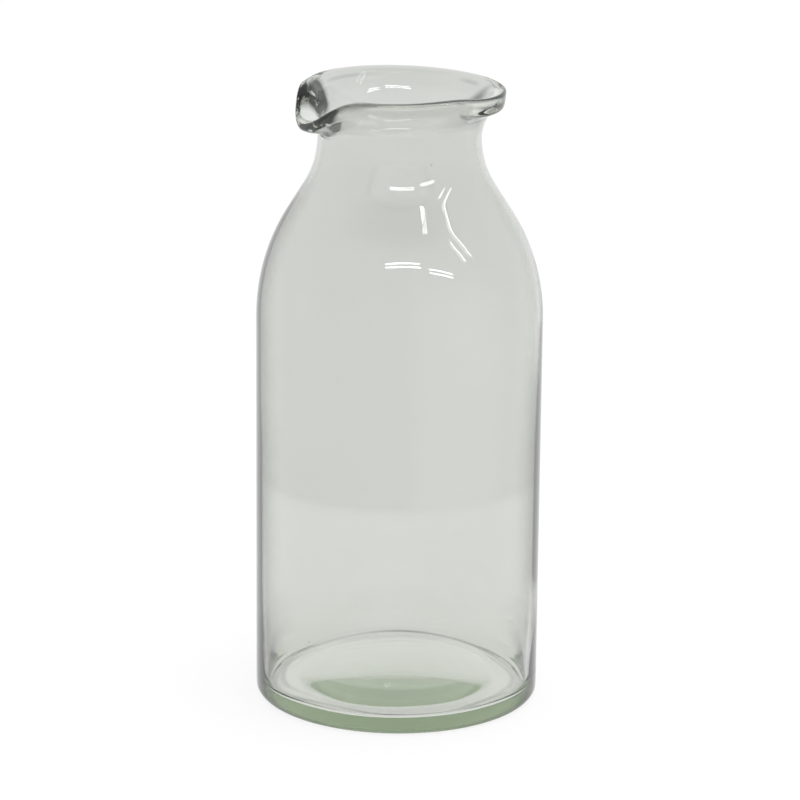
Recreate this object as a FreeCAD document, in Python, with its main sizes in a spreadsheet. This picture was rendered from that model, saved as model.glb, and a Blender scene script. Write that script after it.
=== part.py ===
# Glass milk bottle: a blown carafe with a straight barrel, a rounded shoulder, a waisted neck,
# a thick flat-topped lip and a pouring spout pulled out of the mouth.
# Millimetres and degrees; +Z is up, the bottle stands on z = 0 and its spout points along -X.
import FreeCAD, Part
import math
import os
import Sketcher

# Driving dimensions: name, value, what it measures
SIZES = (
    ("body_diameter", 110, "outside of the barrel"),
    ("waist_diameter", 62.3, "outside of the neck at its narrowest"),
    ("base_thickness", 6.1, "glass under the floor, at its edge"),
    ("floor_dome", 4.5, "rise of the dome in the middle of the floor"),
    ("floor_flat", 5.5, "flat of the floor on the base disc, around the dome"),
    ("pushup_depth", 0.6, "rise of the hollow under the base"),
    ("bearing_width", 8, "flat of the base disc around the hollow"),
    ("heel_width", 11, "base disc's edge to the outside of the barrel"),
    ("heel_height", 14, "table to the top of the heel ring"),
    ("heel_round", 3.5, "radius of the outer bottom corner"),
    ("floor_round", 2.5, "radius of the corner between floor and wall"),
    ("wall_heel", 3.2, "wall at the heel"),
    ("wall_upper", 1.8, "wall from the top of the barrel to the waist"),
    ("shoulder_start", 151, "table to the top of the barrel"),
    ("shoulder_round", 76, "outer radius of the shoulder's curve"),
    ("shoulder_run", 19.5, "straight slope between shoulder and neck"),
    ("neck_round", 26.5, "outer radius of the hollow curve below the waist"),
    ("flare_round", 20, "outer radius of the hollow curve above the waist"),
    ("flare_height", 12.9, "waist to the underside of the lip"),
    ("lip_height", 8, "underside of the lip to the rim"),
    ("lip_overhang", 2.9, "ledge under the lip"),
    ("lip_taper", 0.9, "how much further out the lip is at the rim than at its underside"),
    ("lip_corner", 1.2, "radius of the lip's three corners"),
    ("rim_width", 4.9, "flat top of the lip, corner to corner"),
    ("spout_sector", 90, "degrees of the mouth that the spout takes up"),
    ("spout_drop", 12.4, "rim to the pouring edge"),
    ("spout_reach", 1.8, "how far the pouring edge stands out past the lip"),
    ("spout_edge", 4.8, "thickness of the glass at the pouring edge"),
    ("spout_tilt", 57, "degrees from level of the glass at the pouring edge"),
    ("spout_root", 5.2, "waist to where the spout's underside leaves the neck"),
    ("spout_under_width", 8.6, "root of the spout to the corner under its edge, outwards"),
    ("spout_under_rise", 1, "root of the spout to the corner under its edge, upwards"),
)

# Radii and heights that follow from the sizes: name, formula
FOLLOWERS = (
    ("body_radius", "dims.body_diameter / 2"),
    ("waist_radius", "dims.waist_diameter / 2"),
    ("waist_bore", "waist_radius - dims.wall_upper"),
    ("disc_radius", "body_radius - dims.heel_width"),
    ("floor_dome_radius", "disc_radius - dims.floor_flat"),
    ("floor_dome_round", "(floor_dome_radius ^ 2 + dims.floor_dome ^ 2) / (2 * dims.floor_dome)"),
    ("pushup_radius", "disc_radius - dims.bearing_width"),
    ("pushup_round", "(pushup_radius ^ 2 + dims.pushup_depth ^ 2) / (2 * dims.pushup_depth)"),
    ("heel_bore", "body_radius - dims.wall_heel"),
    ("barrel_bore", "body_radius - dims.wall_upper"),
    ("curves", "dims.shoulder_round + dims.neck_round"),
    ("narrowing", "body_radius - waist_radius"),
    ("slope_sine", "sin(acos((curves - narrowing) / hypot(curves; dims.shoulder_run))"
                   " - atan2(dims.shoulder_run; curves))"),
    ("slope_cosine", "sqrt(1 - slope_sine ^ 2)"),
    ("shoulder_bore_round", "dims.shoulder_round - dims.wall_upper"),
    ("neck_bore_round", "dims.neck_round + dims.wall_upper"),
    ("waist_height", "dims.shoulder_start + curves * slope_sine + dims.shoulder_run * slope_cosine"),
    ("neck_start", "waist_height - dims.neck_round * slope_sine"),
    ("neck_start_radius", "waist_radius + dims.neck_round * (1 - slope_cosine)"),
    ("neck_start_bore", "neck_start_radius - dims.wall_upper * slope_cosine"),
    ("neck_start_bore_height", "neck_start - dims.wall_upper * slope_sine"),
    ("run_start_radius", "neck_start_radius + dims.shoulder_run * slope_sine"),
    ("run_start", "neck_start - dims.shoulder_run * slope_cosine"),
    ("run_start_bore", "run_start_radius - dims.wall_upper * slope_cosine"),
    ("run_start_bore_height", "run_start - dims.wall_upper * slope_sine"),
    ("lip_start", "waist_height + dims.flare_height"),
    ("rim_height", "lip_start + dims.lip_height"),
    ("flare_top", "waist_radius + dims.flare_round - sqrt(dims.flare_round ^ 2 - dims.flare_height ^ 2)"),
    ("lip_low_radius", "flare_top + dims.lip_overhang"),
    ("rim_radius", "lip_low_radius + dims.lip_taper"),
    ("rim_bore", "rim_radius - dims.rim_width"),
    ("spout_root_radius", "waist_radius + dims.flare_round"
                          " - sqrt(dims.flare_round ^ 2 - dims.spout_root ^ 2)"),
    ("pour_radius", "rim_radius + dims.spout_reach"),
    ("pour_height", "rim_height - dims.spout_drop"),
)

SPOUT_STEPS = 8
SPOUT_DIRECTION = 180
FULL_TURN = 360
AXIS, GROUND = range(-2, 0)
START, END, CENTRE = range(1, 4)
ROOT_POINT = (GROUND, START)

doc = FreeCAD.newDocument("milk_bottle")
sheet = doc.addObject("Spreadsheet::Sheet", "dims")
for row, (name, value, meaning) in enumerate(SIZES, start=1):
    sheet.set(f"A{row}", name)
    sheet.set(f"B{row}", str(value))
    sheet.set(f"C{row}", meaning)
    sheet.setAlias(f"B{row}", name)
doc.recompute()

followers = doc.addObject("App::VarSet", "followers")
for name, formula in FOLLOWERS:
    followers.addProperty("App::PropertyFloat", name, "Followers")
    followers.setExpression(name, formula)
doc.recompute()


def number(formula):
    """The present value of a formula in the sheet's and the followers' names."""
    return float(sheet.evalExpression(formula))


def point(corner):
    """A corner's radius and height formulas, as a point of its sketch."""
    radius, height = corner
    return FreeCAD.Vector(number(radius), number(height), 0)


def new_body(label):
    """An empty body for one sub-part."""
    body = doc.addObject("PartDesign::Body", label)
    body.Label = label
    body.Placement = FreeCAD.Placement()
    return body


def upright_sketch(body, name, turn="0"):
    """A sketch on a plane through the bottle's axis: x is the radius, y the height, turn its direction."""
    sketch = body.newObject("Sketcher::SketchObject", name)
    plane = next(feature for feature in body.Origin.OriginFeatures if feature.Role == "XZ_Plane")
    sketch.AttachmentSupport = [(plane, "")]
    sketch.MapMode = "FlatFace"
    if turn != "0":
        upward = FreeCAD.Vector(0, 1, 0)
        sketch.AttachmentOffset = FreeCAD.Placement(
            FreeCAD.Vector(), FreeCAD.Rotation(upward, number(turn)))
        sketch.setExpression(".AttachmentOffset.Rotation.Angle", turn)
    return sketch


def bind(sketch, constraint, formula):
    """Adds a constraint whose value follows a formula."""
    index = sketch.addConstraint(constraint)
    sketch.setExpression(f"Constraints[{index}]", formula)


def pin(sketch, geometry, place, corner):
    """Fixes a point of the sketch at a radius and a height."""
    radius, height = corner
    if radius == "0":
        sketch.addConstraint(Sketcher.Constraint("PointOnObject", geometry, place, AXIS))
    else:
        bind(sketch, Sketcher.Constraint("DistanceX", *ROOT_POINT, geometry, place, number(radius)), radius)
    if height == "0":
        sketch.addConstraint(Sketcher.Constraint("PointOnObject", geometry, place, GROUND))
    else:
        bind(sketch, Sketcher.Constraint("DistanceY", *ROOT_POINT, geometry, place, number(height)), height)


def arc_about(centre, start, end, leftward):
    """The arc about a centre from start to end, turning left or right. It runs anticlockwise itself."""
    first, last = (start, end) if leftward else (end, start)
    from_angle = math.atan2(first.y - centre.y, first.x - centre.x)
    to_angle = math.atan2(last.y - centre.y, last.x - centre.x)
    circle = Part.Circle(centre, FreeCAD.Vector(0, 0, 1), (start - centre).Length)
    return Part.ArcOfCircle(circle, from_angle, to_angle)


def arc_between(start, end, radius, leftward):
    """The shorter arc from start to end; its centre is on the left of that direction, or on the right."""
    chord = end - start
    side = FreeCAD.Vector(-chord.y, chord.x, 0).normalize() * (1 if leftward else -1)
    reach = math.sqrt(radius ** 2 - (chord.Length / 2) ** 2)
    centre = (start + end) * 0.5 + side * reach
    return arc_about(centre, start, end, leftward)


def draw_outline(sketch, corners):
    """Closes an outline through corners (radius, height, edge to the next corner).

    An edge is None for a straight line, or a radius formula and "left" or "right" for an arc.
    """
    ends = []
    for index, (radius, height, edge) in enumerate(corners):
        next_radius, next_height, _ = corners[(index + 1) % len(corners)]
        start = point((radius, height))
        end = point((next_radius, next_height))
        if edge is None:
            geometry = sketch.addGeometry(Part.LineSegment(start, end), False)
            ends.append((geometry, START, END))
            continue
        round_formula, turning = edge
        leftward = turning == "left"
        arc = arc_between(start, end, number(round_formula), leftward)
        geometry = sketch.addGeometry(arc, False)
        ends.append((geometry, START, END) if leftward else (geometry, END, START))
    for index, (geometry, _, last) in enumerate(ends):
        following, following_first, _ = ends[(index + 1) % len(ends)]
        sketch.addConstraint(Sketcher.Constraint("Coincident", geometry, last, following, following_first))
    for (geometry, first, _), (radius, height, edge) in zip(ends, corners):
        pin(sketch, geometry, first, (radius, height))
        if edge is not None:
            round_formula, _ = edge
            bind(sketch, Sketcher.Constraint("Radius", geometry, number(round_formula)), round_formula)


def revolve(body, sketch, name, sweep):
    """Turns a sketch about the bottle's axis."""
    turning = body.newObject("PartDesign::Revolution", name)
    turning.Profile = sketch
    turning.ReferenceAxis = (sketch, ["V_Axis"])
    turning.setExpression("Angle", sweep)
    return turning


def turned_body(label, corners):
    """A sub-part turned about the bottle's axis from an outline."""
    body = new_body(label)
    sketch = upright_sketch(body, f"{label}_outline")
    draw_outline(sketch, corners)
    revolve(body, sketch, f"{label}_turning", str(FULL_TURN))
    return body


def base_disc():
    """Floor of the bottle, domed in the middle, with a shallow hollow pushed up under it."""
    return turned_body("base_disc", (
        ("0", "dims.pushup_depth", ("followers.pushup_round", "right")),
        ("followers.pushup_radius", "0", None),
        ("followers.disc_radius", "0", None),
        ("followers.disc_radius", "dims.base_thickness", None),
        ("followers.floor_dome_radius", "dims.base_thickness", ("followers.floor_dome_round", "left")),
        ("0", "dims.base_thickness + dims.floor_dome", None),
    ))


def heel_ring():
    """Rounded bottom corner, the ring that the bottle stands on and the start of the wall."""
    return turned_body("heel_ring", (
        ("followers.disc_radius", "0", None),
        ("followers.body_radius - dims.heel_round", "0", ("dims.heel_round", "left")),
        ("followers.body_radius", "dims.heel_round", None),
        ("followers.body_radius", "dims.heel_height", None),
        ("followers.heel_bore", "dims.heel_height", None),
        ("followers.heel_bore", "dims.base_thickness + dims.floor_round", ("dims.floor_round", "right")),
        ("followers.heel_bore - dims.floor_round", "dims.base_thickness", None),
        ("followers.disc_radius", "dims.base_thickness", None),
    ))


def barrel_wall():
    """Straight wall, a little thinner towards the shoulder."""
    return turned_body("barrel_wall", (
        ("followers.heel_bore", "dims.heel_height", None),
        ("followers.body_radius", "dims.heel_height", None),
        ("followers.body_radius", "dims.shoulder_start", None),
        ("followers.barrel_bore", "dims.shoulder_start", None),
    ))


def shoulder_wall():
    """Rounded shoulder and the straight slope above it, cut off square to the wall."""
    return turned_body("shoulder_wall", (
        ("followers.barrel_bore", "dims.shoulder_start", None),
        ("followers.body_radius", "dims.shoulder_start", ("dims.shoulder_round", "left")),
        ("followers.run_start_radius", "followers.run_start", None),
        ("followers.neck_start_radius", "followers.neck_start", None),
        ("followers.neck_start_bore", "followers.neck_start_bore_height", None),
        ("followers.run_start_bore", "followers.run_start_bore_height",
         ("followers.shoulder_bore_round", "right")),
    ))


def neck_wall():
    """Hollow curve from the slope up to the waist."""
    return turned_body("neck_wall", (
        ("followers.neck_start_bore", "followers.neck_start_bore_height", None),
        ("followers.neck_start_radius", "followers.neck_start", ("dims.neck_round", "right")),
        ("followers.waist_radius", "followers.waist_height", None),
        ("followers.waist_bore", "followers.waist_height", ("followers.neck_bore_round", "left")),
    ))


def mix(plain, pulled, pull):
    """Formula between a size of the plain lip and the same size at the middle of the spout."""
    return f"({plain}) * {1 - pull} + ({pulled}) * {pull}"


def mouth_corners(pull):
    """Corners of the mouth's section, from the plain lip (pull 0) to the middle of the spout (pull 1)."""
    bore = ("followers.waist_bore", "followers.waist_height")
    waist = ("followers.waist_radius", "followers.waist_height")
    root_rise = mix("dims.flare_height", "dims.spout_root", pull)
    root = (f"followers.waist_radius + dims.flare_round - sqrt(dims.flare_round ^ 2 - ({root_rise}) ^ 2)",
            f"followers.waist_height + {root_rise}")
    under = (mix("followers.lip_low_radius", "followers.spout_root_radius + dims.spout_under_width", pull),
             mix("followers.lip_start",
                 "followers.waist_height + dims.spout_root + dims.spout_under_rise", pull))
    edge = (mix("followers.rim_radius", "followers.pour_radius", pull),
            mix("followers.rim_height", "followers.pour_height", pull))
    channel = (mix("followers.rim_bore",
                   "followers.pour_radius - dims.spout_edge * cos(dims.spout_tilt)", pull),
               mix("followers.rim_height",
                   "followers.pour_height + dims.spout_edge * sin(dims.spout_tilt)", pull))
    return bore, waist, root, under, edge, channel


def rounded_corner(before, corner, after, radius):
    """Tangent points and centre of the arc that rounds a corner between two straight edges."""
    back = (before - corner).normalize()
    ahead = (after - corner).normalize()
    half_angle = back.getAngle(ahead) / 2
    tangent = radius / math.tan(half_angle)
    centre = corner + (back + ahead).normalize() * (radius / math.sin(half_angle))
    return corner + back * tangent, corner + ahead * tangent, centre


def rounded_mouth_corner(before, corner, bore_centre, bore_radius, radius):
    """Tangent points and centre of the arc that rounds a corner between a straight edge and the bore."""
    along = (corner - before).normalize()
    inward = FreeCAD.Vector(-along.y, along.x, 0)
    start = before + inward * radius - bore_centre
    middle = start.dot(along)
    depth = middle ** 2 - start.dot(start) + (bore_radius - radius) ** 2
    centre = bore_centre + start + along * (math.sqrt(depth) - middle)
    on_bore = bore_centre + (centre - bore_centre).normalize() * bore_radius
    return centre - inward * radius, on_bore, centre


def draw_mouth(sketch, pull):
    """Section of the mouth: bore, flare, ledge, lip and rim, with the lip's three corners rounded."""
    corners = mouth_corners(pull)
    bore, waist, root, under, edge, channel = (point(corner) for corner in corners)
    corner_radius = number("dims.lip_corner")
    flare_centre = point(("followers.waist_radius + dims.flare_round", "followers.waist_height"))
    opening = channel - bore
    bore_radius = opening.dot(opening) / (2 * opening.x)
    bore_centre = bore + FreeCAD.Vector(bore_radius, 0, 0)
    under_from, under_to, under_centre = rounded_corner(root, under, edge, corner_radius)
    edge_from, edge_to, edge_centre = rounded_corner(under, edge, channel, corner_radius)
    rim_from, rim_to, rim_centre = rounded_mouth_corner(
        edge, channel, bore_centre, bore_radius, corner_radius)

    seat = sketch.addGeometry(Part.LineSegment(bore, waist), False)
    flare = sketch.addGeometry(arc_about(flare_centre, waist, root, False), False)
    ledge = sketch.addGeometry(Part.LineSegment(root, under_from), False)
    under_arc = sketch.addGeometry(arc_about(under_centre, under_from, under_to, True), False)
    face = sketch.addGeometry(Part.LineSegment(under_to, edge_from), False)
    edge_arc = sketch.addGeometry(arc_about(edge_centre, edge_from, edge_to, True), False)
    rim = sketch.addGeometry(Part.LineSegment(edge_to, rim_from), False)
    rim_arc = sketch.addGeometry(arc_about(rim_centre, rim_from, rim_to, True), False)
    inside = sketch.addGeometry(arc_about(bore_centre, rim_to, bore, True), False)

    sketch.addConstraint(Sketcher.Constraint("Coincident", inside, END, seat, START))
    sketch.addConstraint(Sketcher.Constraint("Coincident", seat, END, flare, END))
    sketch.addConstraint(Sketcher.Constraint("Coincident", flare, START, ledge, START))
    smooth = (
        (ledge, END, under_arc, START), (under_arc, END, face, START),
        (face, END, edge_arc, START), (edge_arc, END, rim, START),
        (rim, END, rim_arc, START), (rim_arc, END, inside, START),
    )
    for joint in smooth:
        sketch.addConstraint(Sketcher.Constraint("Tangent", *joint))
    for arc in (under_arc, edge_arc, rim_arc):
        bind(sketch, Sketcher.Constraint("Radius", arc, corner_radius), "dims.lip_corner")
    bore_corner, waist_corner, root_corner, *sharp_corners = corners
    pin(sketch, seat, START, bore_corner)
    pin(sketch, seat, END, waist_corner)
    pin(sketch, ledge, START, root_corner)
    bind(sketch, Sketcher.Constraint("Radius", flare, number("dims.flare_round")), "dims.flare_round")
    bind(sketch, Sketcher.Constraint("DistanceY", *ROOT_POINT, inside, CENTRE, bore_centre.y),
         "followers.waist_height")
    meetings = ((ledge, face), (face, rim), (rim, inside))
    for corner, edges in zip(sharp_corners, meetings):
        mark = sketch.addGeometry(Part.Point(point(corner)), True)
        pin(sketch, mark, START, corner)
        for meeting_edge in edges:
            sketch.addConstraint(Sketcher.Constraint("PointOnObject", mark, START, meeting_edge))


def lip_ring():
    """Flared mouth with its thick lip, open where the spout is."""
    body = new_body("lip_ring")
    turn = f"{SPOUT_DIRECTION} + dims.spout_sector / 2"
    sketch = upright_sketch(body, "lip_ring_section", turn)
    draw_mouth(sketch, 0)
    revolve(body, sketch, "lip_ring_turning", f"{FULL_TURN} - dims.spout_sector")
    return body


def pour_spout():
    """The stretch of the mouth that is pulled out and down, through sections that swing round the axis."""
    body = new_body("pour_spout")
    sections = []
    for step in range(SPOUT_STEPS + 1):
        share = 2 * step / SPOUT_STEPS - 1
        pull = round(math.cos(math.pi / 2 * share) ** 2, 6)
        turn = f"{SPOUT_DIRECTION} + dims.spout_sector / 2 * {share}"
        sketch = upright_sketch(body, f"spout_section_{step}", turn)
        draw_mouth(sketch, pull)
        sections.append(sketch)
    doc.recompute()
    loft = body.newObject("PartDesign::AdditiveLoft", "spout_loft")
    loft.Profile = sections[0]
    loft.Sections = sections[1:]
    return body


bodies = [
    base_disc(),
    heel_ring(),
    barrel_wall(),
    shoulder_wall(),
    neck_wall(),
    lip_ring(),
    pour_spout(),
]
doc.recompute()

for item in doc.Objects:
    faults = {"Invalid", "Error"} & set(item.State)
    if faults:
        raise RuntimeError(f"{item.Label} failed: {item.State}")
for body in bodies:
    if body.Shape.isNull() or not body.Shape.isValid() or len(body.Shape.Solids) != 1:
        raise RuntimeError(f"{body.Label} is not one valid solid")

os.makedirs("parts", exist_ok=True)
for body in bodies:
    body.Shape.exportStep(f"parts/{body.Label}.step")
    box = body.Shape.optimalBoundingBox()
    print(f"{body.Label}: {body.Shape.Volume / 1000:.2f} cm3,"
          f" x {box.XMin:.2f} to {box.XMax:.2f}, z {box.ZMin:.2f} to {box.ZMax:.2f}")
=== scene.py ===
# %% [markdown]
# # A blown glass milk bottle
# One thick-walled piece of faintly green glass: a straight barrel, a rounded shoulder, a short neck and a
# heavy lip that was pulled out on one side, while it was soft, to make a pouring spout. We load the packed
# construction model first. It fixes where everything is, and the looks are built around it.

import bpy
import numpy as np
from mathutils import Matrix, Vector


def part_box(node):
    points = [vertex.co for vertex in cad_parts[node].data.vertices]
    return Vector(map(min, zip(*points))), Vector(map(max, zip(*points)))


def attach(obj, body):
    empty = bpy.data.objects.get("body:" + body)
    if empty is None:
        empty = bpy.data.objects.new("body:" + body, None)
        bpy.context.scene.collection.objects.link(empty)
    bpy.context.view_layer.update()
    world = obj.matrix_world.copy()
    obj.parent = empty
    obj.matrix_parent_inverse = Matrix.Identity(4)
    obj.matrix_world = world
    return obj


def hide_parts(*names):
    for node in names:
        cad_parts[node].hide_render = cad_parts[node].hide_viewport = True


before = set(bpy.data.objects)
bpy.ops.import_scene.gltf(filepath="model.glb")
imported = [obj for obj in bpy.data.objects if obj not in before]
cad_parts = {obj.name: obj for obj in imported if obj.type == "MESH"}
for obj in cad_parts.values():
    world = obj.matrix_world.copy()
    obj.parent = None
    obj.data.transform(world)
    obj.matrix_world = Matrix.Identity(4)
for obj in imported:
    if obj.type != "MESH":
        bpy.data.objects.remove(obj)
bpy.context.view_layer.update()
barrel_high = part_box("barrel_wall")[1]
BODY_RADIUS, SHOULDER_HEIGHT = barrel_high.x, barrel_high.z
RIM_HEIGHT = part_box("lip_ring")[1].z
FLOOR_DOME, FLOOR_DOME_RADIUS = 0.0045, 0.0385
FLOOR_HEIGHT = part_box("base_disc")[1].z - FLOOR_DOME
print(f"frame: body radius {BODY_RADIUS:.4f} m, shoulder starts at {SHOULDER_HEIGHT:.4f} m, "
      f"rim at {RIM_HEIGHT:.4f} m")

# %% [markdown]
# ## A pen for drawing the wall
# Cut the bottle down its axis and the wall is one closed line: under the foot, up the outside, over the lip
# and down the inside to the middle of the floor. Blender could spin such a line with a Screw modifier, but
# the spout breaks the symmetry, so the line is worked out as an array and carried round by formula. Two pen
# strokes are enough, because a bottle mould is made of straight runs and arcs.

# %% Straight runs and arcs
def run(start, end, count):
    """Points on a straight run: start + t (end - start), t in equal steps from 0, the end left out."""
    t = np.arange(count)[:, None] / count
    return np.array(start) + t * (np.array(end) - np.array(start))


def arc(centre, radius, first, last, count):
    """Points on an arc: centre + radius (cos a, sin a), a in equal steps from first to just before last."""
    a = first + (last - first) * np.arange(count)[:, None] / count
    return np.array(centre) + radius * np.hstack([np.cos(a), np.sin(a)])


print("a quarter turn in three steps:", arc((0, 0), 1, 0, np.pi / 2, 3).round(2).tolist())

# %% [markdown]
# ## The outside, from the foot to the neck
# The bottle stands on a flat ring, because the middle of the foot is pushed up a little: a flat foot would
# rock. The heel is a small round, the barrel is straight, and the shoulder, the slope and the hollow of the
# neck run into one another without a corner. The slope's angle isn't chosen. It follows from the widths
# that the two arcs and the straight run between them have to join.

# %% Foot, heel, barrel, shoulder and neck
PUSH_UP, PUSH_UP_RADIUS, HEEL_ROUND = 0.0006, 0.036, 0.0035
SHOULDER_ROUND, SLOPE_RUN, NECK_ROUND, WAIST_RADIUS = 0.077, 0.012, 0.035, 0.03115

narrowing = SHOULDER_ROUND + NECK_ROUND - (BODY_RADIUS - WAIST_RADIUS)
SLOPE = (np.arccos(narrowing / np.hypot(SHOULDER_ROUND + NECK_ROUND, SLOPE_RUN))
         - np.arctan2(SLOPE_RUN, SHOULDER_ROUND + NECK_ROUND))
WAIST_HEIGHT = SHOULDER_HEIGHT + (SHOULDER_ROUND + NECK_ROUND) * np.sin(SLOPE) + SLOPE_RUN * np.cos(SLOPE)
shoulder_centre = np.array([BODY_RADIUS - SHOULDER_ROUND, SHOULDER_HEIGHT])
neck_centre = np.array([WAIST_RADIUS + NECK_ROUND, WAIST_HEIGHT])
uphill = np.array([np.cos(SLOPE), np.sin(SLOPE)])


def outside():
    """Radius and height up the outside: dome under the foot, standing ring, heel, barrel, shoulder, neck.

    A dome that rises by u over the radius r belongs to a sphere of radius (r^2 + u^2) / (2 u)."""
    dome = (PUSH_UP_RADIUS**2 + PUSH_UP**2) / (2 * PUSH_UP)
    dome_edge = np.pi / 2 - np.arcsin(PUSH_UP_RADIUS / dome)
    heel_centre = (BODY_RADIUS - HEEL_ROUND, HEEL_ROUND)
    return np.vstack([
        arc((0, PUSH_UP - dome), dome, np.pi / 2, dome_edge, 24),
        run((PUSH_UP_RADIUS, 0), (BODY_RADIUS - HEEL_ROUND, 0), 12),
        arc(heel_centre, HEEL_ROUND, -np.pi / 2, 0, 12),
        run((BODY_RADIUS, HEEL_ROUND), (BODY_RADIUS, SHOULDER_HEIGHT), 44),
        arc(shoulder_centre, SHOULDER_ROUND, 0, SLOPE, 30),
        run(shoulder_centre + SHOULDER_ROUND * uphill, neck_centre - NECK_ROUND * uphill, 14),
        arc(neck_centre, NECK_ROUND, np.pi + SLOPE, np.pi, 16),
    ])


print(f"slope {np.degrees(SLOPE):.1f} degrees, waist at {WAIST_HEIGHT:.4f} m, "
      f"{len(outside())} points outside")

# %% [markdown]
# ## The inside, from the neck to the floor
# The blower's breath keeps the wall even in the shoulder and neck, so those arcs share their centres with
# the outside. Lower down the glass was cooler and the wall is a little thicker, and it meets the thick
# floor in a small round.

# %% Neck, shoulder, barrel and floor inside
WALL_UPPER, WALL_HEEL, FLOOR_ROUND = 0.0018, 0.0032, 0.0025


def inside():
    """Radius and height down the inside: the outside's arcs moved in by the wall, then the floor."""
    shoulder, neck = SHOULDER_ROUND - WALL_UPPER, NECK_ROUND + WALL_UPPER
    bore = BODY_RADIUS - WALL_HEEL
    dome = (FLOOR_DOME_RADIUS**2 + FLOOR_DOME**2) / (2 * FLOOR_DOME)
    dome_top = FLOOR_HEIGHT + FLOOR_DOME
    return np.vstack([
        arc(neck_centre, neck, np.pi, np.pi + SLOPE, 16),
        run(neck_centre - neck * uphill, shoulder_centre + shoulder * uphill, 14),
        arc(shoulder_centre, shoulder, SLOPE, 0, 30),
        run((BODY_RADIUS - WALL_UPPER, SHOULDER_HEIGHT), (bore, FLOOR_HEIGHT + FLOOR_ROUND), 44),
        arc((bore - FLOOR_ROUND, FLOOR_HEIGHT + FLOOR_ROUND), FLOOR_ROUND, 0, -np.pi / 2, 10),
        run((bore - FLOOR_ROUND, FLOOR_HEIGHT), (FLOOR_DOME_RADIUS, FLOOR_HEIGHT), 12),
        arc((0, dome_top - dome), dome, np.pi / 2 - np.arcsin(FLOOR_DOME_RADIUS / dome), np.pi / 2, 26),
        [(0, dome_top)],
    ])


print(f"wall {1000 * WALL_UPPER:.1f} mm at the shoulder, {1000 * WALL_HEEL:.1f} mm at the heel")

# %% [markdown]
# ## The mouth: plain, smooth and pulled
# Above the waist the glass flares out into a thick lip with a flat top. At the sides the lip keeps a ledge
# underneath, where it was pressed against a tool, and at the front and the back it melted and runs smoothly
# into the neck. At the spout the same section was drawn out and down. All three are drawn with the same pen
# strokes and the same number of points, so any section between them is a plain mixture.

# %% Lip and spout sections
FLARE_ROUND = 0.020
LIP, RIM_RADIUS, BORE_RADIUS, LIP_LEAN, TOP_FALL = 0.0083, 0.03967, 0.03477, 0.0009, 0.0008
MELTED_ROOT, MELTED_UNDER, MELTED_RADIUS, TOP_RISE = 0.0100, 0.0065, 0.0359, 0.0004
SPOUT_ROOT, SPOUT_UNDER, SPOUT_EDGE = 0.2245, (0.0405, 0.2255), (0.0415, 0.2278)
SPOUT_BORE, SPOUT_HEIGHT = 0.0403, 0.2297
FLARE_POINTS, LEDGE_POINTS, FACE_POINTS, TOP_POINTS, BORE_POINTS = 22, 12, 14, 14, 30
RIM_EDGE = FLARE_POINTS + LEDGE_POINTS + FACE_POINTS
BORE_EDGE = RIM_EDGE + TOP_POINTS


def mouth(root_height, under, edge, bore):
    """Flare arc to its root, ledge, outer face, top of the lip, then one arc down the bore to the waist.

    The bore's arc stands upright at the waist, so with the corner dx further out and dz higher up its
    radius is (dx^2 + dz^2) / (2 dx)."""
    turn = np.arcsin((root_height - WAIST_HEIGHT) / FLARE_ROUND)
    flare_centre = np.array([WAIST_RADIUS + FLARE_ROUND, WAIST_HEIGHT])
    root = flare_centre + FLARE_ROUND * np.array([-np.cos(turn), np.sin(turn)])
    waist_bore = WAIST_RADIUS - WALL_UPPER
    dx, dz = bore[0] - waist_bore, bore[1] - WAIST_HEIGHT
    bore_round = (dx**2 + dz**2) / (2 * dx)
    bore_centre = (waist_bore + bore_round, WAIST_HEIGHT)
    return np.vstack([
        arc(flare_centre, FLARE_ROUND, np.pi, np.pi - turn, FLARE_POINTS),
        run(root, under, LEDGE_POINTS),
        run(under, edge, FACE_POINTS),
        run(edge, bore, TOP_POINTS),
        arc(bore_centre, bore_round, np.pi - np.arcsin(dz / bore_round), np.pi, BORE_POINTS),
    ])


ledge_height = RIM_HEIGHT - LIP
plain_mouth = mouth(ledge_height, (RIM_RADIUS - LIP_LEAN, ledge_height), (RIM_RADIUS, RIM_HEIGHT),
                    (BORE_RADIUS, RIM_HEIGHT - TOP_FALL))
smooth_mouth = mouth(RIM_HEIGHT - MELTED_ROOT, (MELTED_RADIUS, RIM_HEIGHT - MELTED_UNDER),
                     (RIM_RADIUS, RIM_HEIGHT), (BORE_RADIUS, RIM_HEIGHT + TOP_RISE))
pulled_mouth = mouth(SPOUT_ROOT, SPOUT_UNDER, SPOUT_EDGE, (SPOUT_BORE, SPOUT_HEIGHT))
print(f"mouth: {len(plain_mouth)} points, "
      f"drawn down {1000 * (RIM_HEIGHT - SPOUT_HEIGHT):.1f} mm at the spout")

# %% [markdown]
# ## Fire polish
# A finished mouth goes back into the flame, where surface tension rounds every edge. Blurring the line
# along its own length does the same: each point becomes the mean of its neighbours, with bell-shaped
# weights. At the two ends the line is mirrored in the axis, so the foot and the floor stay smooth there.
# The points of the line are the rows of the grid to come, and they are counted from three places: from the
# middle of the foot, from the waist outside, where the mouth starts, and from the waist inside.

# %% Rounding every edge
MIRRORED_POINTS = 9
POLISH, LIP_POLISH, RIM_POLISH = 0.0008, 0.0015, 0.0008


def hump(value, middle, width):
    """exp(-((value - middle) / width)^2): a round hump."""
    return np.exp(-(((value - middle) / width) ** 2))


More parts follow.
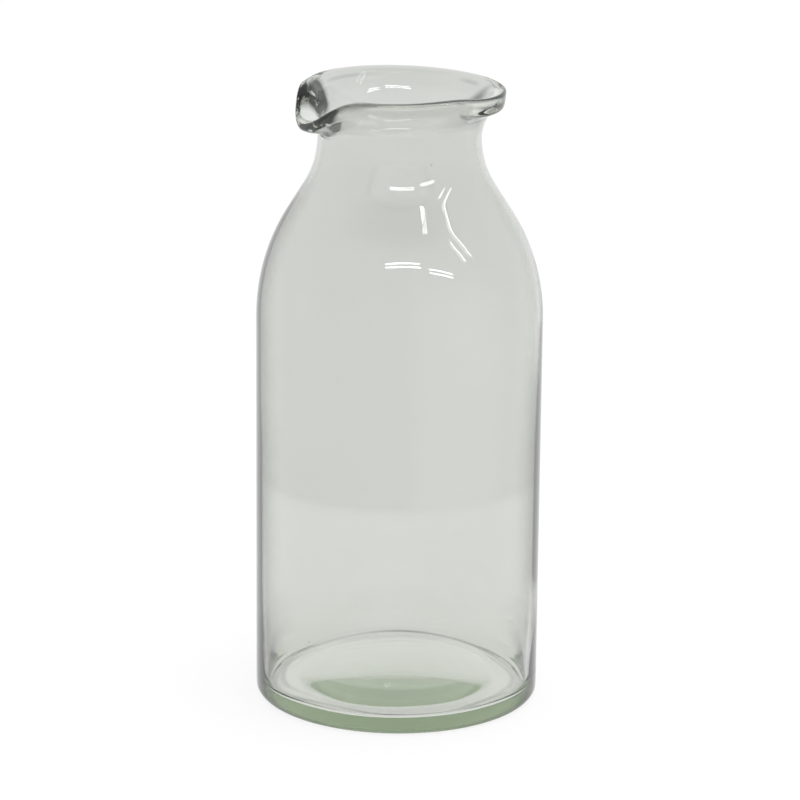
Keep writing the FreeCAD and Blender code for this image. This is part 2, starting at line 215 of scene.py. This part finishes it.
def fire_polish(line, reach):
    """Mean over the points at distance d along the line, weighted by exp(-d^2 / (2 reach^2)) and spacing."""
    mirrored = line * [-1, 1]
    padded = np.vstack([mirrored[MIRRORED_POINTS:0:-1], line, mirrored[-2:-2 - MIRRORED_POINTS:-1]])
    along = np.append(0, np.cumsum(np.linalg.norm(np.diff(padded, axis=0), axis=1)))
    away = (along[MIRRORED_POINTS:-MIRRORED_POINTS, None] - along) / reach
    weights = np.exp(-(away**2) / 2) * np.gradient(along)
    return weights @ padded / weights.sum(1, keepdims=True)


row = np.arange(len(outside()) + len(plain_mouth) + len(inside()))[:, None]
mouth_row = row - len(outside())
inner_row = mouth_row - len(plain_mouth)
reach = POLISH + LIP_POLISH * hump(mouth_row, 27, 12) + RIM_POLISH * hump(mouth_row, 55, 9)
plain_wall, smooth_wall, pulled_wall = (fire_polish(np.vstack([outside(), lip, inside()]), reach)
                                        for lip in (plain_mouth, smooth_mouth, pulled_mouth))
print(f"whole section: {len(plain_wall)} points")

# %% [markdown]
# ## Carrying the section round
# The wall is carried round the axis in equal steps, and each step mixes the three sections: plain at the
# sides, smooth at the front and the back, pulled at the spout. Every change starts and ends softly, so there
# is no crease. The spout is a little wider on the near side.

# %% Plain, smooth and pulled sectors
COLUMNS = 240
around = np.arange(COLUMNS) / COLUMNS * 2 * np.pi
SPOUT, FRONT, BACK = np.radians([180, 240, 62])
FRONT_END, FRONT_START, BACK_END, BACK_START = np.radians([64, 36, 84, 58])
SPOUT_FAR, SPOUT_NEAR = np.radians([34, 42])
SPOUT_POWER = 2.3


def smooth_step(value, low, high):
    """0 below low, 1 above high, and 3 t^2 - 2 t^3 between them. With low above high it falls instead."""
    t = np.clip((value - low) / (high - low), 0, 1)
    return t * t * (3 - 2 * t)


def turned_from(middle):
    """Angle of each column from this one, between minus and plus half a turn."""
    return (around - middle + np.pi) % (2 * np.pi) - np.pi


def mixed_section():
    """plain + s (smooth - plain), then q of the way from there to the pulled section.

    The share s is 1 at the front and the back, and q is a power of a cosine about the spout."""
    away = np.abs(turned_from(SPOUT)) / np.where(turned_from(SPOUT) < 0, SPOUT_FAR, SPOUT_NEAR)
    pull = np.cos(np.pi / 2 * np.clip(away, 0, 1)) ** SPOUT_POWER
    smooth = (smooth_step(np.abs(turned_from(FRONT)), FRONT_END, FRONT_START)
              + smooth_step(np.abs(turned_from(BACK)), BACK_END, BACK_START))
    section = plain_wall[:, None] + smooth[:, None] * (smooth_wall - plain_wall)[:, None]
    section = section + pull[:, None] * (pulled_wall[:, None] - section)
    return section[..., 0], section[..., 1]


print(f"sections: {COLUMNS} round the axis, spout {np.degrees(SPOUT_FAR + SPOUT_NEAR):.0f} degrees wide")

# %% [markdown]
# ## The uneven inside
# Hand-made glass is never quite true. The inside waves by a tenth of a millimetre or two, the edge of the
# floor wanders, and the low wall is thicker at two sides. A noise texture could displace the mesh, but a few
# cosines with drawn numbers are smoother and need no modifier.

# %% Waves and thick places
WAVE, WANDER, WANDER_BAND = 0.00035, 0.0011, 0.004
LOW_WALL, LOW_WALL_BAND = 0.0036, 0.016
LOW_WALL_SIDE, LOW_WALL_SPREAD = np.radians([58, 28])


def ripples(angle, height, seed, count, turns, rise):
    """Mean of count products cos(m angle + p) cos(k height + q), m up to turns and k up to rise."""
    draw = np.random.default_rng(seed)
    m = draw.integers(1, turns + 1, count)[:, None, None]
    k, p, q = (draw.uniform(0, top, count)[:, None, None] for top in (rise, 2 * np.pi, 2 * np.pi))
    return (np.cos(m * angle + p) * np.cos(k * height + q)).mean(0)


def uneven_inside(radius, height):
    """What the radius gains inside: waves, plus the wandering edge of the floor, less the thick low wall."""
    within = smooth_step(inner_row, 4, 44)
    wave = WAVE * ripples(around, height, seed=4, count=9, turns=5, rise=60)
    beside_floor = within * smooth_step(radius, 0.040, 0.050)
    wander = WANDER * ripples(around, height, seed=11, count=6, turns=9, rise=40)
    thick = sum(LOW_WALL * hump(turned_from(BACK), side, LOW_WALL_SPREAD)
                for side in (LOW_WALL_SIDE, -LOW_WALL_SIDE))
    return (wave * within * smooth_step(radius, 0.0, 0.030)
            + wander * hump(height, FLOOR_HEIGHT, WANDER_BAND) * beside_floor
            - thick * hump(height, FLOOR_HEIGHT, LOW_WALL_BAND) * beside_floor)


gain = uneven_inside(*mixed_section())
print(f"inside: the radius changes by {1000 * gain.min():.2f} to {1000 * gain.max():.2f} mm")

# %% [markdown]
# ## The hand-finished mouth
# The mouth was finished by hand, so it is slightly oval, pinched beside the spout, tilted, and swollen at one
# place. The neck leans a little as well. Sculpting could do the same, but these few numbers can be changed
# one by one.

# %% Oval, lean, tilt and swell
WIDER, OVAL, CORNERS, PINCH, SWELL = 0.0006, 0.0012, 0.00076, 0.0010, 0.0007
OVAL_SIDE, CORNER_SIDE, CALM_BACK = np.radians([36, 82, 60])
CALM_SHARE = 0.5
PINCH_MIDDLE, PINCH_WIDTH, SWELL_MIDDLE, SWELL_WIDTH = np.radians([-42, 18, 96, 24])
LEAN_START, LEAN_RETURN = 0.150, 0.2
NECK_LEAN, RIM_TILT = np.array([-0.00054, 0.00029]), np.array([-0.0099, 0.0238])


def uneven_rim(height):
    """What the radius gains at the mouth, growing from the waist to the rim: a constant, two cosines of
    the angle, and a hump taken away for the pinch.

    In the bore at the back it grows with the square of the height and only half as far, so that the far
    wall of the mouth stays calm."""
    oval = (WIDER + OVAL * np.cos(2 * (around - OVAL_SIDE)) + CORNERS * np.cos(3 * (around - CORNER_SIDE))
            - PINCH * hump(turned_from(SPOUT), PINCH_MIDDLE, PINCH_WIDTH))
    rising = smooth_step(height, WAIST_HEIGHT, RIM_HEIGHT - LIP)
    arched = np.clip((height - WAIST_HEIGHT) / (RIM_HEIGHT - WAIST_HEIGHT), 0, 1) ** 2
    far_bore = (np.cos(np.pi / 2 * np.clip(np.abs(turned_from(BACK)) / CALM_BACK, 0, 1)) ** 2
                * smooth_step(mouth_row, RIM_EDGE, BORE_EDGE))
    return (rising + far_bore * (CALM_SHARE * arched - rising)) * oval


def bottle_surface():
    """Grid of points (radius cos a + lean, radius sin a + lean, height + tilt + swell).

    The radius is the mixed section's, with what it gains inside and at the rim."""
    radius, height = mixed_section()
    radius = radius + uneven_inside(radius, height) + uneven_rim(height)
    at_rim = smooth_step(height, WAIST_HEIGHT, RIM_HEIGHT)
    lean = (smooth_step(height, LEAN_START, WAIST_HEIGHT) - LEAN_RETURN * at_rim)[..., None] * NECK_LEAN
    x, y = radius * np.cos(around) + lean[..., 0], radius * np.sin(around) + lean[..., 1]
    tilt = RIM_TILT[0] * x + RIM_TILT[1] * y
    swell = SWELL * hump(turned_from(SPOUT), SWELL_MIDDLE, SWELL_WIDTH)
    return np.stack([x, y, height + at_rim * (tilt + swell)], -1)


surface = bottle_surface()
spout_tip = surface[len(outside()):-len(inside()), :, 0].min()
print(f"grid {surface.shape[0]} by {surface.shape[1]}, the spout reaches {-spout_tip:.4f} m from the axis")

# %% [markdown]
# ## Painted shade and painted light on the skin
# A picture of clear glass is mostly a picture of its room, folded up by the lip, the spout and the floor. A
# real room has dark corners that a plain sky lacks, so the skin carries a few soft layers of painted shade
# and painted light instead, one number for each point of the grid. Each is a product of soft windows in row
# and angle, so it has no hard edge and needs no picture. In the mouth, row 0 is the waist, 22 the root of the
# lip,
# 34 the end of the ledge, 48 the outer edge of the rim, 62 the edge of the bore and 92 the waist again.
# Angles are in degrees.

# %% Windows in row and angle
def bell(value, middle, width):
    """exp(-((value - middle) / width)^4): flat at 1 in the middle, 0 outside, soft between."""
    return np.exp(-(((value - middle) / width) ** 4))


def blend_darks(*darks):
    """1 - (1 - a)(1 - b)...: darks laid over one another never add up to more than 1."""
    return 1 - np.prod([1 - dark for dark in np.broadcast_arrays(*darks)], axis=0)


CAMERA_SIDE, RIGHT_SIDE, LEFT_SIDE = np.radians([242, 332, 152])
from_spout, from_front, from_right, from_back = (
    np.degrees(turned_from(side)) for side in (SPOUT, CAMERA_SIDE, RIGHT_SIDE, BACK))
on_front = smooth_step(from_front**2, 85**2, 72**2)
on_left = smooth_step(np.cos(around - LEFT_SIDE), -0.4, 0.4)
on_back = smooth_step(np.abs(from_back), 112, 80)
height = surface[..., 2]
print(f"rows: {len(outside())} outside, {len(plain_mouth)} in the mouth, {len(inside())} inside")

# %% [markdown]
# ### Painted shade on the outline and painted light on the front
# The painted shade along the outline isn't the same all the way up. On the left it is fainter at the neck,
# and on the right it is broken near the foot and fades towards the shoulder. On the front, the lower wall is
# painted lighter up to a soft level line, and so are a strip above it and the middle of the lip. The floor of
# the glass and the underside of the foot are painted lighter too.

# %% Painted outline shade and painted light on the wall
# Painted shade along the outline: how dark it is painted, by height, on the left, the right and in the mouth.
skin_outside = smooth_step(row, 40, 46) * smooth_step(mouth_row, 54, 49)
edge_left = (1 - 0.55 * smooth_step(height, 0.188, 0.216)) * (1 - 0.15 * smooth_step(height, 0.030, 0.015))
edge_right = ((1 - 0.6 * smooth_step(height, 0.122, 0.150)) * (1 - 0.25 * bell(height, 0.036, 0.014))
              * (1 - 0.55 * bell(height, 0.019, 0.009)) * (1 - 0.2 * smooth_step(height, 0.012, 0.006)))
edge_mouth = 0.8 * smooth_step(mouth_row, 14, 24)
outline = skin_outside * np.maximum(on_left * edge_left + (1 - on_left) * edge_right, edge_mouth)

# Painted light: the front wall below a level line, a strip above it, the middle of the lip, the floor and the
# underside of the foot are painted lighter.
PALE_LINE_TOP, PALE_LINE_FOOT = 0.0905, 0.0860
pale_foot = smooth_step(height, PALE_LINE_TOP, PALE_LINE_FOOT)
pale_side = bell(from_front, 26, 20) * smooth_step(height, 0.19, 0.16)
pale = on_front * (0.8 * pale_foot * smooth_step(height, 0.010, 0.014) + 0.4 * (1 - pale_foot) * pale_side)
painted_light_lip = bell(from_front, 0, 36) * (bell(mouth_row, 27, 9) + bell(mouth_row, 76, 6))
painted_light_floor = smooth_step(inner_row, 112, 116) + smooth_step(row, 38, 34)
print(f"outline up to {outline.max():.2f}, pale wall up to {pale.max():.2f}")

# %% [markdown]
# ### Painted shade along the rim and round the floor
# The lip works as a thick lens, and the dark lines it shows are painted along it as painted shade: a band on
# top at the front, the corner and the ledge on the right, a crescent in the bore and the faint edge of the
# far bore. A soft painted grey lies over the back of the mouth, and two more painted dark lines wander round
# the edge of the floor.

# %% Painted shade lines of the rim and the floor
# Painted shade: each of these is a dark line or patch painted into the glass colour.
rim_band = 0.88 * bell(from_front, 1, 46) * bell(mouth_row + 8 * smooth_step(from_front, -2, -28), 56, 6)
rim_corner = 0.9 * bell(from_front, 62, 32) * bell(mouth_row, RIM_EDGE, 2.6)
ledge_line = 0.8 * bell(from_front, 61, 15) * bell(mouth_row + 0.05 * from_front, 44.2, 1.4)
bore_crescent = (0.86 * bell(from_right, 27, 14) * bell(mouth_row - 0.75 * from_right, 57.5, 7)
                 * smooth_step(mouth_row, 79, 75))
inner_edge = (0.32 * bell(from_back, 40, 22) * bell(mouth_row, 66.5, 0.9)
              + 0.38 * bell(from_back, -52, 9) * bell(mouth_row, 66.2, 1.1))
back_of_mouth = ((0.31 - 0.06 * smooth_step(mouth_row, 70, 76)) * on_back
                 * smooth_step(mouth_row, 44, 50) * smooth_step(mouth_row, 90, 80))
uneven = [ripples(around, 0, seed, count=6, turns=8, rise=1)[0] for seed in (21, 8, 5)]
floor_line = 0.75 * bell(inner_row, 115.4 + 5 * uneven[0], 1.6) * (0.7 + 0.9 * uneven[1])
second_line = (0.5 * bell(inner_row, 118.8 + 6 * uneven[2], 1.2)
               * smooth_step(np.cos(from_right * np.pi / 90), 0, 1))
shaded = blend_darks(rim_band, rim_corner, ledge_line, bore_crescent, back_of_mouth, inner_edge,
                     floor_line, second_line)
print(f"shaded lines up to {shaded.max():.2f}")

# %% [markdown]
# ### Painted shade in the spout
# Where the spout was pulled, its underside and the far flank of the channel are painted dark, as painted
# shade for the dark of the room that they catch. The layers are then gathered by name. The last one, "turn",
# lets the outline's painted shade reach a little further in, low on the barrel.

# %% Painted spout shade, and all layers together
# Painted shade: the underside of the spout and the far flank of its channel are painted dark.
under_spout = np.minimum(1, 1.8 * bell(mouth_row, 41.5, 7.5) * bell(from_spout, 12, 15))
far_flank = (0.93 * bell(mouth_row, 70, 14) * smooth_step(from_spout, -10, -17)
             * smooth_step(from_spout, -54, -38))
# Every layer is painted shade or painted light: the outline's shade, the lighter front wall, lip and floor,
# the spout's shade, the shaded lines, and how far in the outline's shade reaches.
layers = {
    "outer": outline,
    "clear": painted_light_floor + np.maximum(skin_outside * pale, painted_light_lip),
    "spout_shade": under_spout + far_flank,
    "shade": shaded,
    "turn": (0.03 * smooth_step(height, 0.13, 0.10) + 0.06 * on_left * smooth_step(height, 0.050, 0.004)
             + 0.08 * (1 - on_left) * smooth_step(height, 0.016, 0.003)),
}
print("layers on the skin:", ", ".join(layers))

# %% [markdown]
# ## From a grid to a closed mesh
# The first and the last row of the grid are single points on the axis. They become one vertex each with a
# fan of triangles, and the last column joins the first, so the skin has no seam and no hole. Light can
# only bend rightly through glass that is closed and whose faces all point outwards.

# %% Closing the skin
def closed_mesh(name, grid, **numbers):
    """Quads between rows and columns (columns wrap round), and fans to the two end points.

    Each of the numbers is a layer, one value per point of the grid, kept as an attribute of that name."""
    rows, columns = grid.shape[0] - 2, grid.shape[1]
    points = np.vstack([grid[1:-1].reshape(-1, 3), grid[:1, 0], grid[-1:, 0]])
    index = np.arange(rows * columns).reshape(rows, columns)
    onward = np.roll(index, -1, axis=1)
    quads = np.stack([index[:-1], onward[:-1], onward[1:], index[1:]], -1).reshape(-1, 4)
    first, last = np.full(columns, rows * columns), np.full(columns, rows * columns + 1)
    fans = np.vstack([np.stack([first, onward[0], index[0]], -1),
                      np.stack([last, index[-1], onward[-1]], -1)])
    mesh = bpy.data.meshes.new(name)
    mesh.from_pydata(points, [], quads.tolist() + fans.tolist())
    mesh.shade_smooth()
    for layer, values in numbers.items():
        values = np.broadcast_to(values, grid.shape[:2])
        values = np.append(values[1:-1].ravel(), [values[0, 0], values[-1, 0]])
        mesh.attributes.new(layer, "FLOAT", "POINT").data.foreach_set("value", values.astype(np.float32))
    made = bpy.data.objects.new(name, mesh)
    bpy.context.scene.collection.objects.link(made)
    return made


bottle = closed_mesh("bottle_glass", surface, **layers)
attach(bottle, "root")
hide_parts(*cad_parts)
print(f"bottle: {len(bottle.data.vertices)} vertices, {len(bottle.data.polygons)} faces")

# %% [markdown]
# ## Shader sums that read like sums
# A material is a web of nodes. This small class wraps one output socket, so that sums and products of such
# sockets can be written as Python and become Math nodes.

# %% A signal in a material
class Signal:
    """One output of a material's node. Arithmetic on signals adds Math nodes."""

    def __init__(self, tree, socket=None):
        self.tree, self.socket = tree, socket

    def node(self, kind, settings=None, inputs=None, output=0):
        """Add a node of this kind: its settings first, then the values or links of its sockets."""
        made = self.tree.nodes.new(kind)
        for name, value in (settings or {}).items():
            setattr(made, name, value)
        for name, value in (inputs or {}).items():
            if isinstance(value, Signal):
                self.tree.links.new(value.socket, made.inputs[name])
            else:
                made.inputs[name].default_value = value
        return Signal(self.tree, made.outputs[output] if made.outputs else None)

    def maths(self, operation, first, second):
        """One Math node with these two terms."""
        return self.node("ShaderNodeMath", {"operation": operation}, {0: first, 1: second})

    def ramp(self, low, high):
        """0 at low, 1 at high, with a soft start and end."""
        return self.node("ShaderNodeMapRange", {"interpolation_type": "SMOOTHSTEP"}, {
            "Value": self, "From Min": low, "From Max": high})

    def __add__(self, other):
        return self.maths("ADD", self, other)

    def __sub__(self, other):
        return self.maths("SUBTRACT", self, other)

    def __rsub__(self, other):
        return self.maths("SUBTRACT", other, self)

    def __mul__(self, other):
        return self.maths("MULTIPLY", self, other)

    def __pow__(self, other):
        return self.maths("POWER", self, other)

    __radd__, __rmul__ = __add__, __mul__


def new_material(name):
    """An empty node material and a signal to build it from."""
    made = bpy.data.materials.new(name)
    made.use_nodes = True
    made.node_tree.nodes.clear()
    return made, Signal(made.node_tree)


print("signals can be added, taken away, multiplied and raised to a power")

# %% [markdown]
# ## The glass
# Iron in the sand makes cheap glass faintly green, and the more of it the light goes through, the greener
# it gets: that is the Volume Absorption, and it makes the thick foot darker than the wall by itself. The
# skin carries the rest: soft streaks where the melt was not quite mixed, faint ripples from the blowing, a
# slightly duller breath of smudges, and a few seeds, the tiny bubbles left in the melt. The mouth was fire
# polished, so the ripples stop below it. The colour also carries painted shade and painted light: towards
# the outline, where the skin is seen edge on, Layer Weight paints the dark of the room into the colour, as
# far as the layers allow, and the painted layers darken or lighten it where they lie.

# %% Streaks, ripples and the green of the iron
WALL_GREY, WALL_PALE = (0.762, 0.769, 0.751, 1), (0.80, 0.806, 0.788, 1)
# The next line holds the nearly clear tint that painted light mixes towards and the near black that painted
# shade mixes towards.
PAINTED_LIGHT_TINT, ROOM_DARK = (0.97, 0.975, 0.965, 1), (0.002, 0.003, 0.002, 1)
IRON_GREEN, IRON_DENSITY, GLASS_IOR = (0.683, 0.757, 0.627, 1), 30, 1.51
SEED_EDGE, SEED_CORE, RIPPLE_START, RIPPLE_FULL = 0.0005, 0.0002, 0.214, 0.202
SEEDS = [(radius * np.cos(np.radians(angle)), radius * np.sin(np.radians(angle)), up)
         for angle, radius, up in ((263, 0.0351, 0.2305), (263, 0.0314, 0.2159), (188, 0.0320, 0.2130),
                                   (205, 0.0550, 0.0337), (295, 0.0550, 0.0391))]


def bottle_glass():
    """Transmission with a streaked tint, small ripples, soft smudges and green absorption inside, with
    painted shade and painted light in its colour.

    The dark is the painted shade of the outline (outline times edge), plus half of each seed, plus the
    painted shade lines, plus the painted shade of the spout broken up by noise."""
    made, start = new_material("bottle_glass")
    place = start.node("ShaderNodeTexCoord", output="Object")
    drawn = start.node("ShaderNodeMapping", inputs={"Vector": place, "Scale": (1, 1, 0.22)})
    streak = start.node("ShaderNodeTexNoise", inputs={"Vector": drawn, "Scale": 70, "Detail": 3})
    drift = start.node("ShaderNodeTexNoise", inputs={"Vector": place, "Scale": 22, "Detail": 2})
    smudge = start.node("ShaderNodeTexNoise", inputs={"Vector": place, "Scale": 95, "Detail": 5})
    # Noise that breaks up the painted shade of the spout.
    spout_shade_noise = start.node("ShaderNodeTexNoise", inputs={"Vector": place, "Scale": 260, "Detail": 2})
    # Layer Weight, used below to paint shade towards the outline.
    edge = start.node("ShaderNodeLayerWeight", inputs={"Blend": 0.5}, output="Facing")
    # Painted shade and painted light, read from the skin's layers.
    outer, clear, spout_shade, shade, turn = (
        start.node("ShaderNodeAttribute", {"attribute_name": name}, output="Fac") for name in layers)
    turned = edge + turn
    up = start.node("ShaderNodeSeparateXYZ", inputs={"Vector": place}, output="Z")
    below_mouth = up.ramp(RIPPLE_START, RIPPLE_FULL)
    specks = [start.node("ShaderNodeVectorMath", {"operation": "DISTANCE"}, {0: place, 1: spot},
                         output="Value").ramp(SEED_EDGE, SEED_CORE) for spot in SEEDS]
    wall = start.node("ShaderNodeMix", {"data_type": "RGBA"}, {
        "Factor": 0.5 * streak + 0.5 * drift, "A": WALL_GREY, "B": WALL_PALE}, output=2)
    # Painted light: the tint is mixed towards a nearly clear one where the layer says.
    tint = start.node("ShaderNodeMix", {"data_type": "RGBA"}, {
        "Factor": clear, "A": wall, "B": PAINTED_LIGHT_TINT}, output=2)
    # Painted shade: the outline, the shaded lines and the spout darken the colour towards near black, and so
    # does half of each seed.
    dark = (outer * (turned.ramp(0.45, 0.85) + 0.14 * turned.ramp(0.72, 0.78))
            + 0.5 * sum(specks[1:], specks[0]) + shade + spout_shade * spout_shade_noise.ramp(0.28, 0.42))
    colour = start.node("ShaderNodeMix", {"data_type": "RGBA"}, {
        "Factor": start.maths("MINIMUM", dark, 1.0), "A": tint, "B": ROOM_DARK}, output=2)
    bump = start.node("ShaderNodeBump", inputs={
        "Strength": 0.10, "Distance": 0.0006, "Height": (0.7 * drift + 0.3 * streak) * below_mouth})
    skin = start.node("ShaderNodeBsdfPrincipled", inputs={
        "Base Color": colour, "Roughness": 0.004 + 0.05 * smudge**4, "IOR": GLASS_IOR,
        "Transmission Weight": 1.0, "Normal": bump})
    depth = start.node("ShaderNodeVolumeAbsorption", inputs={"Color": IRON_GREEN, "Density": IRON_DENSITY})
    start.node("ShaderNodeOutputMaterial", inputs={"Surface": skin, "Volume": depth})
    return made


bottle.data.materials.append(bottle_glass())
print("glass:", len(bottle.data.materials[0].node_tree.nodes), "nodes")

# %% [markdown]
# ## Floor and sky
# Clear glass is drawn by what stands round it. A pale floor and a bright sky give it a light ground. The
# floor glows where it is looked at, straight on, in a reflection or through the glass, and keeps some plain
# paint, so that the bottle's shadow shows. High up on the camera's side the sky is dim, and the lip and the
# spout show that as their darks.

# %% Floor and sky
VIEW_AZIMUTH, VIEW_HEIGHT = np.radians(-28), np.radians(15.37)
FLOOR_REACH, FLOOR_GAP, FLOOR_PAINT, FLOOR_GLOW = 40, 0.0001, (0.93, 0.93, 0.93, 1), 0.85
WHITE = (1, 1, 1, 1)
SKY_LIGHT, HORIZON_LIGHT, SKY_DIM = 0.93, 0.07, 0.81


def pale_floor():
    """A flat sheet just under the foot: mostly glow where it is looked at, with paint for the shadow."""
    mesh = bpy.data.meshes.new("floor")
    corners = FLOOR_REACH * np.array([(-1, -1, 0), (1, -1, 0), (1, 1, 0), (-1, 1, 0)]) - [0, 0, FLOOR_GAP]
    mesh.from_pydata(corners, [], [(0, 1, 2, 3)])
    sheet = bpy.data.objects.new("floor", mesh)
    bpy.context.scene.collection.objects.link(sheet)
    made, start = new_material("pale_floor")
    paint = start.node("ShaderNodeBsdfDiffuse", inputs={"Color": FLOOR_PAINT})
    glow = start.node("ShaderNodeEmission", inputs={"Color": WHITE, "Strength": 1.0})
    seen, mirrored, through = (start.node("ShaderNodeLightPath", output=kind)
                               for kind in ("Is Camera Ray", "Is Glossy Ray", "Is Transmission Ray"))
    looked_at = start.maths("MINIMUM", seen + mirrored + through, 1.0)
    lit = start.node("ShaderNodeMixShader", inputs={0: FLOOR_GLOW * looked_at, 1: paint, 2: glow})
    start.node("ShaderNodeOutputMaterial", inputs={"Surface": lit})
    mesh.materials.append(made)


def studio_sky():
    """Light = SKY_LIGHT + HORIZON_LIGHT h - SKY_DIM a b.

    h is 1 at the horizon and 0 higher up, a rises with a direction's height, and b rises as it turns to
    the camera's side."""
    world = bpy.data.worlds.new("studio")
    world.use_nodes = True
    world.node_tree.nodes.clear()
    start = Signal(world.node_tree)
    way = start.node("ShaderNodeTexCoord", output="Generated")
    up = start.node("ShaderNodeSeparateXYZ", inputs={"Vector": way}, output="Z")
    nearer = start.node("ShaderNodeVectorMath", {"operation": "DOT_PRODUCT"}, {
        0: way, 1: (np.sin(VIEW_AZIMUTH), -np.cos(VIEW_AZIMUTH), 0)}, output="Value")
    light = (SKY_LIGHT + HORIZON_LIGHT * up.ramp(0.25, 0.06)
             - SKY_DIM * up.ramp(0.60, 0.85) * nearer.ramp(-0.2, 0.3))
    sky = start.node("ShaderNodeBackground", inputs={"Color": WHITE, "Strength": light})
    start.node("ShaderNodeOutputWorld", inputs={"Surface": sky})
    bpy.context.scene.world = world


pale_floor()
studio_sky()
print("floor and sky ready")

# %% [markdown]
# ## Lamps
# One broad overhead lamp lights the floor evenly, and thin strip lamps draw the bright lines on the shoulder.
# The camera looks at the bottle with the spout on its left, turned a little towards it, and the strips are
# placed by the direction in which the shoulder throws them back to that camera.

# %% Lamps
BOTTLE_MIDDLE = np.array([0, 0, 0.1174])
LAMP_DISTANCE, LAMP_GLOW = 1.5, 20
FRONT_WIDTH, SIDE_WIDTH, PANEL_WIDTH, TUBE_STEP = 0.017, 0.015, 0.012, 2.0
OVERHEAD_POWER = 1.45
OVERHEAD_SPREAD, OVERHEAD_SIDE, OVERHEAD_HEIGHT = np.radians([45, 70, 82])


def heading(azimuth, elevation):
    """Unit direction: azimuth in radians from the camera's side, elevation above the floor."""
    turned = VIEW_AZIMUTH + azimuth
    flat = np.array([np.sin(turned), -np.cos(turned), 0])
    return np.cos(elevation) * flat + np.sin(elevation) * np.array([0, 0, 1])


def placed(x_axis, y_axis, z_axis, origin):
    """The matrix whose columns are three axes and an origin."""
    return Matrix(np.vstack([np.column_stack([x_axis, y_axis, z_axis, origin]), [0, 0, 0, 1]]).tolist())


def strip_lamp(name, first, last, width):
    """A thin lamp between two directions, given as (azimuth, elevation) in degrees.

    Its power is radiance times pi times its area, so that every strip is equally bright."""
    a, b = (BOTTLE_MIDDLE + LAMP_DISTANCE * heading(*np.radians(end)) for end in (first, last))
    middle, length = (a + b) / 2, np.linalg.norm(b - a)
    along, out = (b - a) / length, (middle - BOTTLE_MIDDLE) / np.linalg.norm(middle - BOTTLE_MIDDLE)
    across = np.cross(out, along)
    lamp = bpy.data.lights.new(name, "AREA")
    lamp.shape, lamp.size, lamp.size_y = "RECTANGLE", length, width
    lamp.energy = LAMP_GLOW * np.pi * length * width
    made = bpy.data.objects.new(name, lamp)
    made.matrix_world = placed(along, across, np.cross(along, across), middle)
    made.visible_camera = False
    bpy.context.scene.collection.objects.link(made)


def overhead_lamp():
    """A broad distant lamp from above and to the front right."""
    lamp = bpy.data.lights.new("overhead", "SUN")
    lamp.energy, lamp.angle = OVERHEAD_POWER, OVERHEAD_SPREAD
    made = bpy.data.objects.new("overhead", lamp)
    made.visible_glossy = made.visible_transmission = False
    made.rotation_mode = "QUATERNION"
    made.rotation_quaternion = Vector(heading(OVERHEAD_SIDE, OVERHEAD_HEIGHT)).to_track_quat("Z", "Y")
    bpy.context.scene.collection.objects.link(made)


overhead_lamp()
for tube, lift in enumerate((0, TUBE_STEP)):
    strip_lamp(f"front_tube_{tube}", (-13, 33.6 + lift), (20, 33.6 + lift), FRONT_WIDTH)
    strip_lamp(f"front_right_tube_{tube}", (28, 30 + lift), (48, 24.5 + lift), SIDE_WIDTH)
    strip_lamp(f"right_tube_{tube}", (57 + lift, 42 + 5 * lift), (64 + 4 * lift, 30), SIDE_WIDTH)
strip_lamp("small_panel", (30.5, 51.5), (37, 51.1), PANEL_WIDTH)
print("lamps:", [lamp.name for lamp in bpy.data.lights])

# %% [markdown]
# ## The camera
# A long lens from about 1.4 metres, looking down a little, with the bottle standing a touch out of plumb as
# it does on a table that isn't quite level. Light crosses many faces on its way through a bottle, so the
# paths are allowed more bends than Blender gives them by itself.

# %% Camera
LENS, SENSOR_WIDTH = 162.4, 36
ROLL, ASIDE, DISTANCE = np.radians(0.55), 0.00046, 1.392
camera = bpy.data.objects.new("camera", bpy.data.cameras.new("camera"))
camera.data.lens, camera.data.sensor_width = LENS, SENSOR_WIDTH
back = heading(0, VIEW_HEIGHT)
level = np.array([np.cos(VIEW_AZIMUTH), np.sin(VIEW_AZIMUTH), 0])
upright = np.cross(back, level)
rightward = np.cos(ROLL) * level + np.sin(ROLL) * upright
camera_up = np.cross(back, rightward)
eye = BOTTLE_MIDDLE + ASIDE * level + DISTANCE * back
camera.matrix_world = placed(rightward, camera_up, back, eye)
bpy.context.scene.collection.objects.link(camera)
bpy.context.scene.camera = camera
bpy.context.scene.view_settings.view_transform = "Standard"
paths = bpy.context.scene.cycles
paths.max_bounces, paths.glossy_bounces, paths.transmission_bounces = 20, 10, 16
print("camera at", np.round(eye, 3))
